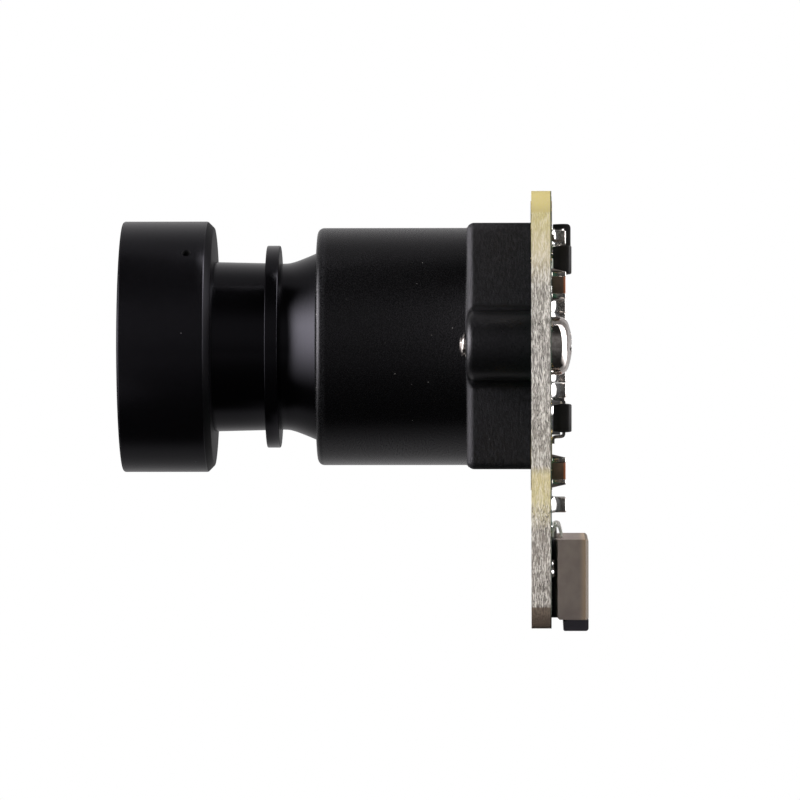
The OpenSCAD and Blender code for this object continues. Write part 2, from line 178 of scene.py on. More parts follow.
class Finish(Nodes):
    """A procedural material. Sizes are in millimetres and follow the object's own coordinates."""

    def __init__(self, name, metallic=0.0, specular=0.5):
        self.material = bpy.data.materials.new(name)
        super().__init__(self.material)
        out = self.node("ShaderNodeOutputMaterial")
        self.bsdf = self.node("ShaderNodeBsdfPrincipled")
        self.tree.links.new(self.bsdf.outputs[0], out.inputs["Surface"])
        self.place = self.node("ShaderNodeTexCoord").outputs["Object"]
        self.set("Metallic", metallic)
        self.set("Specular IOR Level", specular)

    def set(self, name, value):
        self.feed(self.bsdf.inputs[name], value)

    def stretched(self, stretch, turn=(0, 0, 0), drift=None):
        m = self.node("ShaderNodeMapping")
        self.feed(m.inputs["Vector"], self.place)
        if drift is not None:
            shift = self.node("ShaderNodeCombineXYZ")
            self.feed(shift.inputs[1], drift)
            self.feed(m.inputs["Location"], shift.outputs[0])
        m.inputs["Scale"].default_value = [1 / s for s in stretch]
        m.inputs["Rotation"].default_value = turn
        return m.outputs[0]

    def noise(self, size, detail=3.0, rough=0.55, stretch=(1, 1, 1), turn=(0, 0, 0), drift=None):
        n = self.node("ShaderNodeTexNoise")
        self.feed(n.inputs["Vector"], self.stretched(stretch, turn, drift))
        n.inputs["Scale"].default_value = 1 / (size * MM)
        n.inputs["Detail"].default_value = detail
        n.inputs["Roughness"].default_value = rough
        return n.outputs[0]

    def cells(self, size):
        n = self.node("ShaderNodeTexVoronoi", feature="F1")
        self.feed(n.inputs["Vector"], self.stretched((1, 1, 1)))
        n.inputs["Scale"].default_value = 1 / (size * MM)
        return n.outputs["Distance"]

    def along(self, axis):
        """The coordinate along X, Y or Z, in millimetres."""
        return self.product(self.split(self.place)[axis], 1 / MM)

    def facing(self, axis):
        """How squarely the surface faces along that axis, either way."""
        normal = self.node("ShaderNodeTexCoord").outputs["Normal"]
        return self.maths("ABSOLUTE", self.split(normal)[axis])

    def blend(self, factor, a, b):
        n = self.node("ShaderNodeMix", data_type="RGBA", blend_type="MIX")
        self.feed(n.inputs[0], factor)
        self.feed(n.inputs[6], a)
        self.feed(n.inputs[7], b)
        return n.outputs[2]

    def ramp(self, value, stops):
        n = self.node("ShaderNodeValToRGB")
        self.feed(n.inputs[0], value)
        n.color_ramp.interpolation = "LINEAR"
        elements = n.color_ramp.elements
        while len(elements) < len(stops):
            elements.new(0.5)
        for e, (position, colour) in zip(elements, stops):
            e.position = position
            e.color = (*colour, 1)
        return n.outputs[0]

    def bump(self, height, depth, strength=1.0, under=None):
        n = self.node("ShaderNodeBump")
        self.feed(n.inputs["Height"], height)
        n.inputs["Distance"].default_value = depth * MM
        n.inputs["Strength"].default_value = strength
        if under is not None:
            self.feed(n.inputs["Normal"], under)
        return n.outputs[0]

    def colour(self, value):
        self.set("Base Color", value)

    def relief(self, normal):
        self.set("Normal", normal)

    def gloss(self, pattern, low, high):
        """Roughness that follows a noise pattern from low to high."""
        self.set("Roughness", self.remap(pattern, 0.3, 0.7, low, high))

    def specks(self, size, share):
        """1 on a sparse scatter of dust specks about that size, else 0."""
        near = self.remap(self.cells(size * 6), 0.1, 0.03)
        some = self.remap(self.noise(size * 9, 1.0), 1 - share, 1 - share + 0.02)
        return self.product(near, some)


DUST = (0.24, 0.23, 0.22)
PLASTIC_SHEEN = 0.42


def black_plastic(name, gloss, dark, light, texture, rim_tone=0.0, flank=PLASTIC_SHEEN):
    """Moulded black plastic. The rim tone, when given, colours a lighter grainy band round the front
    rim, and flank is the sheen of a surface that faces sideways."""
    f = Finish(name, specular=PLASTIC_SHEEN)
    if flank < PLASTIC_SHEEN:
        f.set("Specular IOR Level", f.remap(f.facing(1), 0.05, 0.3, flank, 0.58))
    grain = f.noise(0.07, 3, 0.65)
    flow = f.noise(0.1, 3, 0.7, stretch=(1, 1, 2.2))
    dust = f.specks(0.055, 0.34)
    base = f.blend(f.remap(flow, 0.43, 0.61), (dark, dark, dark * 1.1), (light, light, light * 1.12))
    pores = f.remap(f.cells(0.13), 0.05, 0.4)
    if rim_tone:
        rim = f.remap(f.along(1), -TUBE_S + 0.62, -TUBE_S + 0.45)
        rim_grain = f.product(rim, f.remap(f.noise(0.06, 2, 0.7), 0.42, 0.6))
        base = f.blend(rim_grain, base, (rim_tone, rim_tone, rim_tone * 1.08))
    f.colour(f.blend(dust, base, DUST))
    f.gloss(grain, gloss - 0.06, gloss + 0.06)
    f.set("Specular Tint", (1.0, 0.97, 1.05))
    streaks = f.noise(0.1, 3, stretch=(1, 1, 3))
    under = f.bump(streaks, 0.012 * texture, 0.6, f.bump(pores, 0.005 * texture, 0.4))
    f.relief(f.bump(grain, 0.01 * texture, 0.55, under))
    return f.material


def anodised(name="black_anodised", gloss=0.3, tone=0.002):
    """Turned and black anodised metal, with faint tool rings round the optical axis."""
    f = Finish(name, metallic=0.0, specular=0.4)
    rings = f.noise(0.05, 2, stretch=(40, 1, 40))
    smudge = f.noise(1.6, 3)
    grain = f.noise(0.06, 3, 0.65)
    dust = f.specks(0.05, 0.3)
    light = (tone * 2.4, tone * 2.2, tone * 2.8)
    base = f.blend(f.remap(grain, 0.35, 0.65), (tone, tone, tone * 1.2), light)
    f.colour(f.blend(dust, base, (0.24, 0.235, 0.24)))
    faced = f.remap(f.facing(1), 0.32, 0.6)
    satin = f.total(f.remap(smudge, 0.3, 0.7, 0.0, 0.02), f.product(faced, 0.2))
    turned_gloss = f.remap(grain, 0.3, 0.7, gloss - 0.03, gloss + 0.03)
    f.set("Roughness", f.total(turned_gloss, satin))
    f.set("Specular IOR Level", f.remap(faced, 0.0, 1.0, 0.4, 0.06))
    f.set("Specular Tint", (0.97, 0.94, 1.1))
    f.relief(f.bump(rings, 0.002, 0.35, f.bump(grain, 0.006, 0.4)))
    return f.material


def powdery(name, specular, size, dark, light, rough, depth, strength):
    """A dull surface of one fine grain."""
    f = Finish(name, specular=specular)
    grain = f.noise(size, 3)
    f.colour(f.blend(grain, dark, light))
    f.gloss(grain, *rough)
    f.relief(f.bump(grain, depth, strength))
    return f.material


# the cut edge's colour from the board's lower edge, at 0, to its upper edge, at 1: partly the
# laminate's own bands, partly painted light, lighter at the top where the rounded corner turns up to
# the light and darker from 0.02 to 0.05 where the bottom corner turns down into shade
RESIN_AND_CORNER_LIGHT_BANDS = (
    (0.0, (0.34, 0.26, 0.21)), (0.022, (0.12, 0.088, 0.07)), (0.05, (0.066, 0.047, 0.036)),
    (0.054, (0.16, 0.14, 0.12)), (0.22, (0.2, 0.176, 0.146)), (0.29, (0.46, 0.4, 0.2)),
    (0.35, (0.47, 0.4, 0.2)), (0.375, (0.22, 0.2, 0.165)), (0.6, (0.165, 0.152, 0.138)),
    (0.78, (0.2, 0.185, 0.155)), (0.86, (0.41, 0.355, 0.22)), (0.945, (0.39, 0.335, 0.13)),
    (1.0, (0.33, 0.28, 0.09)),
)


def laminate():
    """The bare board: glass fibres in resin on its cut edges, dark mask on its faces. The cut edges
    carry painted highlights on the fibres, painted shade in the cracks, and painted light and shade on
    the corners.
    """
    f = Finish("board_laminate", specular=0.4)
    z = f.along(2)
    y = f.along(1)
    low, high = board_lo.z, board_hi.z
    height = f.maths("DIVIDE", f.maths("SUBTRACT", z, low), high - low)
    resin = f.ramp(height, RESIN_AND_CORNER_LIGHT_BANDS)
    routed = f.total(f.remap(z, high - 1.27, high - 1.13), f.remap(z, low + 1.25, low + 1.15))
    sawn = f.rest(routed)
    wander = f.product(f.noise(0.55, 1), 0.2 * MM)
    strand = f.noise(0.06, 3, 0.6, stretch=(1, 1, 7), turn=(0.03, 0, 0), drift=wander)
    crack = f.noise(0.055, 3, 0.65, stretch=(1, 1, 3.4), turn=(-0.22, 0, 0), drift=wander)
    patchy_crack_shade = f.remap(f.noise(0.6, 2, stretch=(1, 1, 2.5)), 0.35, 0.65)
    vein = f.noise(0.2, 2, 0.5, stretch=(1, 1, 8), drift=wander)
    yellow_band = f.product(f.remap(height, 0.27, 0.3), f.remap(height, 0.37, 0.36))
    clean = f.total(f.remap(height, 0.74, 0.9), yellow_band)
    matt = f.remap(clean, 0.0, 1.0, 1.0, 0.4)
    # painted highlight: glints along the fibre strands, blended towards a pale colour, fainter where
    # the edge is clean
    glint = f.product(f.remap(strand, 0.4, 0.64), matt, f.remap(vein, 0.38, 0.6, 0.62, 1.0))
    light = f.blend(glint, resin, f.blend(0.66, resin, (0.88, 0.84, 0.76)))
    # painted shade in the cracks: how dark they are, patchy, darker towards the lower edge, fainter
    # where clean
    deeper = f.remap(height, 0.24, 0.1, 0.0, 0.24)
    depth = f.total(0.6, f.product(patchy_crack_shade, 0.2), f.remap(vein, 0.35, 0.6, 0.22, -0.22), deeper)
    depth = f.product(f.remap(clean, 0.0, 1.0, 1.0, 0.3), depth)
    # the torn edge with its painted shade in the cracks and painted glints on the fibres
    torn_with_painted_light = f.blend(f.product(f.remap(crack, 0.5, 0.62), depth), light, (0.05, 0.042, 0.036))
    pale = f.blend(0.6, resin, (0.36, 0.29, 0.21))
    streaked = f.blend(f.remap(strand, 0.35, 0.65, 0, 0.5), resin, pale)
    cut = f.blend(sawn, streaked, torn_with_painted_light)
    edge_line = f.remap(y, BOARD_BACK - 0.075, BOARD_BACK - 0.04)
    cut = f.blend(edge_line, cut, (0.022, 0.032, 0.02))
    face = f.remap(f.facing(1), 0.6, 0.8)
    weave = f.noise(0.5, 2)
    mask = f.blend(f.remap(weave, 0.35, 0.7), (0.005, 0.04, 0.019), (0.009, 0.056, 0.027))
    f.colour(f.blend(face, cut, mask))
    f.set("Roughness", f.remap(face, 0, 1, 0.6, 0.24))
    f.set("Coat Weight", f.remap(face, 0, 1, 0, 0.15))
    f.set("Specular IOR Level", f.remap(face, 0, 1, 0.4, 0.22))
    rough_cut = f.product(sawn, f.rest(face))
    strand_bump = f.bump(f.product(strand, rough_cut), 0.05, 0.9)
    f.relief(f.bump(f.product(crack, rough_cut), -0.05, 0.8, strand_bump))
    return f.material


def mask_over_copper():
    """Green solder mask where a copper track lies under it."""
    f = Finish("mask_over_copper", specular=0.5)
    n = f.noise(0.4, 3)
    f.colour(f.blend(n, (0.012, 0.1, 0.045), (0.02, 0.13, 0.06)))
    f.gloss(n, 0.2, 0.3)
    f.set("Coat Weight", 0.4)
    f.relief(f.bump(f.noise(0.12, 2), 0.002, 0.3))
    return f.material


def metal(name, dark, light, rough, wave=0.5, depth=0.006):
    """Plated or bare metal with slow waves in its surface."""
    f = Finish(name, metallic=1.0)
    n = f.noise(0.25, 3)
    f.colour(f.blend(f.remap(n, 0.3, 0.7), dark, light))
    f.gloss(f.noise(0.5, 3), rough * 0.75, rough * 1.3)
    f.relief(f.bump(f.noise(wave * 0.3, 2), depth, 0.35))
    return f.material


def moulded(name, dark, light, rough, specular=0.4, grain=0.08):
    """Plastic, epoxy or ceramic in two close tones, with a fine grain."""
    f = Finish(name, specular=specular)
    n = f.noise(0.7, 4)
    g = f.noise(grain, 3)
    f.colour(f.blend(f.remap(n, 0.3, 0.72), dark, light))
    f.gloss(g, rough - 0.06, rough + 0.08)
    f.relief(f.bump(g, 0.006, 0.4))
    return f.material


def ceramic_brown():
    """Dark brown capacitor ceramic, redder towards its outer face."""
    f = Finish("capacitor_ceramic", specular=0.5)
    n = f.noise(0.3, 4)
    base = f.blend(f.remap(n, 0.3, 0.7), (0.026, 0.017, 0.012), (0.044, 0.027, 0.017))
    outer = f.remap(f.along(1), BOARD_BACK + 0.63, BOARD_BACK + 0.72)
    f.colour(f.blend(outer, base, (0.15, 0.045, 0.014)))
    f.gloss(n, 0.28, 0.42)
    f.relief(f.bump(f.noise(0.07, 3), 0.005, 0.4))
    return f.material


def connector_plastic():
    """Grey-brown plastic, with painted light making it lighter and warmer towards its outer face, and
    painted shade making it dark down by the board.
    """
    f = Finish("connector_plastic", specular=0.35)
    y = f.along(1)
    n = f.noise(0.9, 4)
    grain = f.noise(0.07, 3)
    base = f.blend(f.remap(n, 0.3, 0.7), (0.145, 0.115, 0.104), (0.178, 0.144, 0.126))
    # painted light: lighter and warmer towards the outer face, which catches the light from beside the
    # board
    outer = f.remap(y, conn_hi.y - 0.55, conn_hi.y - 0.2)
    warm_with_painted_light = f.blend(outer, base, (0.27, 0.195, 0.135))
    rim = f.remap(y, conn_hi.y - 0.19, conn_hi.y - 0.14)
    warm_with_painted_light = f.blend(rim, warm_with_painted_light, (0.075, 0.058, 0.041))
    # painted shade: near black down by the board, under the housing
    inner = f.remap(y, conn_lo.y + 0.3, conn_lo.y + 0.2)
    f.colour(f.blend(inner, warm_with_painted_light, (0.012, 0.01, 0.01)))
    f.gloss(grain, 0.5, 0.62)
    f.set("Subsurface Weight", 0.08)
    f.set("Subsurface Radius", (0.3 * MM, 0.22 * MM, 0.15 * MM))
    f.set("Subsurface Scale", 1.0)
    f.relief(f.bump(grain, 0.006, 0.35))
    return f.material


def coated_glass(name, tint, sheen):
    """Glass whose reflections take the colour of its coating."""
    f = Finish(name, specular=0.6)
    smear = f.noise(2.5, 4)
    f.colour(tint)
    f.set("Transmission Weight", 1.0)
    f.set("IOR", 1.52)
    f.set("Roughness", f.remap(smear, 0.4, 0.8, 0.0, 0.03))
    f.set("Specular Tint", sheen)
    f.set("Coat Weight", 0.25)
    f.set("Coat Tint", sheen)
    f.set("Coat Roughness", 0.02)
    return f.material


def pixel_array():
    """The sensor's die, with a faint grid of colours."""
    f = Finish("silicon", specular=0.7)
    grid = f.cells(0.06)
    f.colour(f.blend(grid, (0.03, 0.05, 0.07), (0.12, 0.05, 0.16)))
    f.gloss(f.noise(0.5, 3), 0.12, 0.25)
    f.relief(f.bump(grid, 0.002, 0.3))
    return f.material


TIN_TONES = (0.3, 0.28, 0.26), (0.62, 0.59, 0.56)
BAFFLE_TONES = (0.0015, 0.0015, 0.0016), (0.006, 0.006, 0.0065)
INK_TONES = (0.62, 0.62, 0.58), (0.82, 0.82, 0.78)
FINISHES = {
    "holder": black_plastic("holder_plastic", 0.6, 0.0002, 0.0088, 3.4, flank=0.28),
    "tube": black_plastic("holder_tube_plastic", 0.26, 0.0008, 0.0018, 0.8, 0.012),
    "ear": black_plastic("holder_ear_plastic", 0.33, 0.0025, 0.0065, 1.2),
    "anodised": anodised(gloss=0.22, tone=0.0006),
    "neck": anodised("black_anodised_gloss", gloss=0.14, tone=0.0004),
    "baffle": powdery("baffle_black", 0.2, 0.08, *BAFFLE_TONES, (0.6, 0.8), 0.006, 0.5),
    "laminate": laminate(),
    "trace": mask_over_copper(),
    "silk": powdery("silkscreen_white", 0.3, 0.06, *INK_TONES, (0.5, 0.7), 0.003, 0.4),
    "tin": metal("tin_plating", *TIN_TONES, 0.2, 0.35, 0.012),
    "lead": metal("lead_tin", (0.2, 0.19, 0.18), (0.48, 0.46, 0.44), 0.16, 0.4, 0.012),
    "gold_tin": metal("contact_plating", (0.74, 0.72, 0.66), (0.95, 0.93, 0.88), 0.34),
    "solder": metal("solder", (0.56, 0.56, 0.55), (0.84, 0.84, 0.83), 0.16, 0.8, 0.012),
    # solder and tin coloured near black: painted shade for joints and tabs that sit in shade
    "painted_shade_solder": moulded("painted_shade_solder", (0.012, 0.01, 0.009), (0.07, 0.06, 0.052), 0.34, 0.45, 0.06),
    "gold": metal("gold_plating", (0.62, 0.42, 0.14), (0.9, 0.68, 0.3), 0.22),
    "nickel": metal("nickel_plating", (0.6, 0.54, 0.5), (0.9, 0.84, 0.8), 0.05, 1.2, 0.02),
    "chip": moulded("chip_epoxy", (0.002, 0.0018, 0.0018), (0.0045, 0.004, 0.004), 0.52, 0.16, 0.05),
    "brown": ceramic_brown(),
    "tan": moulded("tan_ceramic", (0.2, 0.13, 0.08), (0.32, 0.22, 0.14), 0.36),
    "alumina": moulded("alumina", (0.62, 0.61, 0.57), (0.78, 0.77, 0.73), 0.5),
    "package": moulded("package_ceramic", (0.03, 0.03, 0.033), (0.06, 0.06, 0.065), 0.4),
    "lid": metal("lid_metal", (0.5, 0.46, 0.36), (0.76, 0.71, 0.6), 0.28),
    "connector": connector_plastic(),
    "latch": moulded("latch_plastic", (0.017, 0.015, 0.02), (0.026, 0.022, 0.028), 0.38, 0.45, 0.06),
    "glass": coated_glass("lens_glass", (0.96, 0.98, 1.0), (0.45, 0.35, 0.95)),
    "inner_glass": coated_glass("inner_lens_glass", (0.97, 1.0, 0.98), (0.3, 0.85, 0.5)),
    "filter": coated_glass("filter_glass", (0.75, 0.97, 0.9), (0.9, 0.25, 0.2)),
    "silicon": pixel_array(),
}

# ---------------- mesh tools


def as_mesh(name, bm):
    mesh = bpy.data.meshes.new(name)
    bm.to_mesh(mesh)
    bm.free()
    return mesh


def placed(name, data):
    o = bpy.data.objects.new(name, data)
    bpy.context.scene.collection.objects.link(o)
    return o


def piece(name, bm, finish, stands_for=(), crease=38, body="camera_board"):
    """A finished mesh piece, from a bmesh in millimetres, riding on a CAD body."""
    bmesh.ops.recalc_face_normals(bm, faces=bm.faces)
    bmesh.ops.scale(bm, vec=(MM, MM, MM), verts=bm.verts)
    mesh = as_mesh(name, bm)
    for p in mesh.polygons:
        p.use_smooth = True
    mesh.set_sharp_from_angle(angle=radians(crease))
    mesh.materials.append(FINISHES[finish])
    o = placed(name, mesh)
    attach(o, body)
    if stands_for:
        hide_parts(*stands_for)
    return o


def bridge(bm, rings, wrap=True):
    """Faces between each ring of points and the next. A ring that doesn't wrap is an open row."""
    for a, b in zip(rings, rings[1:]):
        for i in range(len(a) if wrap else len(a) - 1):
            j = (i + 1) % len(a)
            bm.faces.new((a[i], a[j], b[j], b[i]))


def turned(bm, profile, segments, closed=True, x=0.0):
    """Turns a profile of (r, s) points about the optical axis, or an axis at x beside it. A point
    (r, s, pitch, depth) follows a helical thread of that relative depth."""
    rings = []
    for point in profile:
        r, s = point[0], point[1]
        if r < 1e-6:
            rings.append([bm.verts.new((x, -s, 0.0))])
            continue
        ring = []
        for i in range(segments):
            a = TURN * i / segments
            radius = r
            if len(point) > 2:
                pitch, depth = point[2:]
                share = (s / pitch + i / segments) % 1.0
                radius = r - 0.54 * pitch * depth * min(1.0, max(0.0, 2.3 * abs(2 * share - 1) - 0.5))
            ring.append(bm.verts.new((x + radius * cos(a), -s, radius * sin(a))))
        rings.append(ring)
    pairs = list(zip(rings, rings[1:]))
    if closed:
        pairs.append((rings[-1], rings[0]))
    for a, b in pairs:
        if len(a) == 1 and len(b) == 1:
            continue
        for i in range(segments):
            j = (i + 1) % segments
            corners = [a[i % len(a)], a[j % len(a)], b[j % len(b)], b[i % len(b)]]
            corners = list(dict.fromkeys(corners))
            if len(corners) > 2:
                bm.faces.new(corners)


def arc(cx, cy, r, start, end, steps):
    """Points on an arc of a circle, between two angles in degrees."""
    turns = [radians(start + (end - start) * i / steps) for i in range(steps + 1)]
    return [(cx + r * cos(t), cy + r * sin(t)) for t in turns]


def block(bm, lo, hi, bevel=0.0, steps=2):
    """A box with rounded edges, added to bm."""
    corners = [bm.verts.new([(lo, hi)[(k >> i) & 1][i] for i in range(3)]) for k in range(8)]
    loops = ((0, 1, 3, 2), (4, 6, 7, 5), (0, 4, 5, 1), (2, 3, 7, 6), (0, 2, 6, 4), (1, 5, 7, 3))
    faces = [bm.faces.new([corners[k] for k in loop]) for loop in loops]
    if bevel:
        edges = list(dict.fromkeys(e for f in faces for e in f.edges))
        bmesh.ops.bevel(bm, geom=edges, offset=bevel, segments=steps, profile=0.5, affect="EDGES")


def ribbon(bm, path, width, thick, place):
    """A flat strip bent along a path of (out, up) points; place(out, up, across) puts a point."""
    rings = []
    for i, (o, u) in enumerate(path):
        a = path[max(0, i - 1)]
        b = path[min(len(path) - 1, i + 1)]
        d = Vector((b[0] - a[0], b[1] - a[1])).normalized()
        n = Vector((-d.y, d.x)) * (thick / 2)
        section = [(k, width / 2 * w) for k, w in ((1, -1), (1, 1), (-1, 1), (-1, -1))]
        rings.append([bm.verts.new(place(o + n.x * k, u + n.y * k, across)) for k, across in section])
    bridge(bm, rings)
    bm.faces.new(rings[0])
    bm.faces.new(rings[-1])


def soften(node, width):
    """Rounds the crisp edges of a carried-over CAD node."""
    o = nodes[node]
    d = o.modifiers.new("flat", "DECIMATE")
    d.decimate_type = "DISSOLVE"
    d.angle_limit = radians(0.5)
    b = o.modifiers.new("soft", "BEVEL")
    b.width = width * MM
    b.segments = 2
    b.limit_method = "ANGLE"
    b.angle_limit = radians(30)
    b.harden_normals = True


# ---------------- lens barrel

FINE = 224
DIMPLE_S = 19.3


def make_barrel():
    """The threaded part, cone, ring and neck in one turned piece, and the hood in front of them."""
    rear, hood_rear, bore = BARREL_REAR_S, HOOD_S - HOOD_LENGTH, BARREL_BORE_R
    cone_s, step = 10.55, THREAD_PITCH / 10
    turns = int((cone_s - rear - 0.35) / step)
    ring_top, ring_foot, corner = 5.64, 5.44, 0.07
    outer = [(THREAD_R - 0.36, rear), (THREAD_R - 0.3, rear + 0.08)]
    outer += [(THREAD_R, rear + 0.3 + step * i, THREAD_PITCH, 1.0) for i in range(turns)]
    outer += [(THREAD_R - 0.27, cone_s - 0.02), (5.95, cone_s + 0.02), (5.93, cone_s + 0.1)]
    outer += [(5.78, 11.0), (5.555, 11.5), (5.335, 12.0), (5.165, 12.4), (5.0, 12.8), (4.915, 13.02)]
    outer += [(4.84, 13.22), (4.775, 13.42), (4.725, 13.62), (4.7, 13.8), (4.69, 14.18)]
    outer += [(ring_foot, 14.18)] + arc(ring_top, 14.25, corner, -80, 0, 4)
    outer += arc(ring_top, 14.86, corner, 0, 80, 4) + [(ring_foot, 14.93)]
    outer += [(4.72, 14.93), (4.79, hood_rear)]
    stop_r, stop_front, stop_rear = 2.7, 15.2, 14.9
    inner = [(bore, hood_rear), (bore, stop_front), (stop_r, stop_front), (stop_r, stop_rear)]
    inner += [(bore, stop_rear), (bore, 6.2), (4.9, rear)]
    bm = bmesh.new()
    turned(bm, outer + inner, FINE)
    piece("barrel_body", bm, "neck", ["lens_barrel"], 32, "lens_barrel")

    hood = [(bore, hood_rear), (6.62, hood_rear)]
    chamfer = ((0.37, 0.015), (0.34, 0.035), (0.035, 0.34), (0.015, 0.37), (0.0, 0.43))
    hood += [(HOOD_R - inset, hood_rear + ahead) for inset, ahead in chamfer]
    # the close rows keep the drilled mark's long faces away from the shading of the rest
    hood += [(HOOD_R, DIMPLE_S + ahead) for ahead in (-0.45, -0.3, 0.3, 0.45)]
    hood += arc(HOOD_R - 0.15, HOOD_S - 0.15, 0.15, 0, 90, 6)
    hood += [(6.5, HOOD_S), (6.44, HOOD_S - 0.03), (6.0, HOOD_S - 0.45), (6.0, 19.0), (bore, 19.0)]
    bm = bmesh.new()
    turned(bm, hood, FINE)
    o = piece("barrel_hood", bm, "anodised", ["lens_barrel"], 32, "lens_barrel")
    drill_dimple(o)


def drill_dimple(o):
    """The small witness mark drilled into the hood's side."""
    cutter = bmesh.new()
    mouth, foot, depth = 0.29 * MM, 0.2 * MM, 0.5 * MM
    bmesh.ops.create_cone(cutter, cap_ends=True, segments=32, radius1=mouth, radius2=foot, depth=depth)
    bearing = radians(47.5)
    out = Vector((cos(bearing), 0, sin(bearing)))
    spot = (out * (HOOD_R - 0.05) + Vector((0, -DIMPLE_S, 0))) * MM
    turn = (-out).to_track_quat("Z", "Y").to_matrix().to_4x4()
    bmesh.ops.transform(cutter, matrix=Matrix.Translation(spot) @ turn, verts=cutter.verts)
    tool = placed("dimple", as_mesh("dimple", cutter))
    tool.data.materials.append(FINISHES["baffle"])
    cut = o.modifiers.new("dimple", "BOOLEAN")
    cut.object = tool
    cut.operation = "DIFFERENCE"
    cut.solver = "EXACT"
    cut.material_mode = "TRANSFER"
    done = bpy.data.meshes.new_from_object(o.evaluated_get(bpy.context.evaluated_depsgraph_get()))
    o.modifiers.clear()
    o.data = done
    done.set_sharp_from_angle(angle=radians(32))
    bpy.data.objects.remove(tool)


def glass(name, node, r, rear, front, finish, segments):
    """A glass element with a ground edge of radius r. rear and front give where each surface meets
    the edge, where its middle is, and how far out it curves."""
    steps = 20
    profile = []
    for edge, apex, reach in (rear, front):
        shares = [i / steps for i in range(steps + 1)]
        curve = [(reach * t, apex + (edge - apex) * t * t) for t in shares] + [(r, edge)]
        profile += curve[::-1] if profile else curve
    bm = bmesh.new()
    turned(bm, profile, segments, closed=False)
    piece(name, bm, finish, [node], 30, "lens_optics")


# ---------------- lens holder


def holder_outline():
    """The base's outline seen from the front: a square with an ear each side, faired in."""
    half, ear, fair, corner, reach = BASE_HALF, 1.9, 0.55, 0.44, 9.0
    right = (
        arc(half - corner, -half + corner, corner, -90, 0, 4)
        + arc(half + fair, -ear - fair, fair, 180, 90, 8)
        + arc(reach, 0, ear, -90, 90, 28)
        + arc(half + fair, ear + fair, fair, -90, -180, 8)
        + arc(half - corner, half - corner, corner, 0, 90, 4)
    )
    left = [(-x, -z) for x, z in right]
    return right + left


def subdivided(points, step):
    """The same closed outline with more points along its straight sides."""
    dense = []
    for a, b in zip(points, points[1:] + points[:1]):
        a, b = Vector(a), Vector(b)
        count = max(1, ceil((b - a).length / step))
        dense += [tuple(a.lerp(b, i / count)) for i in range(count)]
    return dense


def make_holder():
    """The base with its ears, hollow inside, and the tube with its internal thread."""
    outline = subdivided(holder_outline(), 0.5)
    n = len(outline)
    edge = 0.42
    turns = [radians(t) for t in (8, 20, 32, 45, 58, 70, 80, 90)]
    rows = [(0.0, 0.02), (0.0, BASE_S - edge - 0.02)]
    rows += [(edge * (1 - cos(t)), BASE_S - edge + edge * sin(t)) for t in turns]
    rows += [(edge + 0.015, BASE_S)]
    bm = bmesh.new()
    rings = []
    for inset, s in rows:
        ring = []
        for i, (x, z) in enumerate(outline):
            d = (Vector(outline[(i + 1) % n]) - Vector(outline[i - 1])).normalized()
            ring.append(bm.verts.new((x - d.y * inset, -s, z + d.x * inset)))
        rings.append(ring)
    bridge(bm, rings)

    bearings = [atan2(z, x) for x, z in outline]

    def inner_ring(s, reach):
        points = [(reach(a) * cos(a), reach(a) * sin(a)) for a in bearings]
        return [bm.verts.new((x, -s, z)) for x, z in points]

    def window(half_x, half_z):
        return lambda a: min(half_x / max(abs(cos(a)), 1e-6), half_z / max(abs(sin(a)), 1e-6))

    cavity, pocket, light = window(5.3, 5.3), window(3.95, 3.95), window(3.4, 3.1)
    hollow = [(0.02, cavity), (2.6, cavity), (2.6, pocket), (3.0, pocket), (3.0, light)]
    hollow += [(LEDGE_S, light), (LEDGE_S, lambda a: BORE_R), (BASE_S, lambda a: BORE_R)]
    bridge(bm, [rings[0]] + [inner_ring(*level) for level in hollow] + [rings[-1]])
    for face in bm.faces:
        face.material_index = int(abs(face.calc_center_median().x) > BASE_HALF + 0.01)
    o = piece("holder_base", bm, "holder", ["lens_holder"], 34)
    o.data.materials.append(FINISHES["ear"])

    rim, sunk, lip = 0.37, BASE_S - 0.3, TUBE_S - 0.14
    tube = [(BORE_R, sunk), (TUBE_R + 0.12, sunk), (TUBE_R + 0.12, BASE_S - 0.02)]
    tube += [(TUBE_R + 0.03, BASE_S + 0.03), (TUBE_R, BASE_S + 0.12), (TUBE_R, TUBE_S - rim - 0.03)]
    tube += arc(TUBE_R - rim, TUBE_S - rim, rim, 6, 90, 10)
    tube += [(6.2, TUBE_S), (6.1, TUBE_S - 0.05), (BORE_R, lip)]
    tube += [(BORE_R + 0.2 * (i % 2), lip - THREAD_PITCH / 2 * i) for i in range(1, 26)]
    bm = bmesh.new()
    turned(bm, tube, FINE)
    piece("holder_tube", bm, "tube", ["lens_holder"], 34)


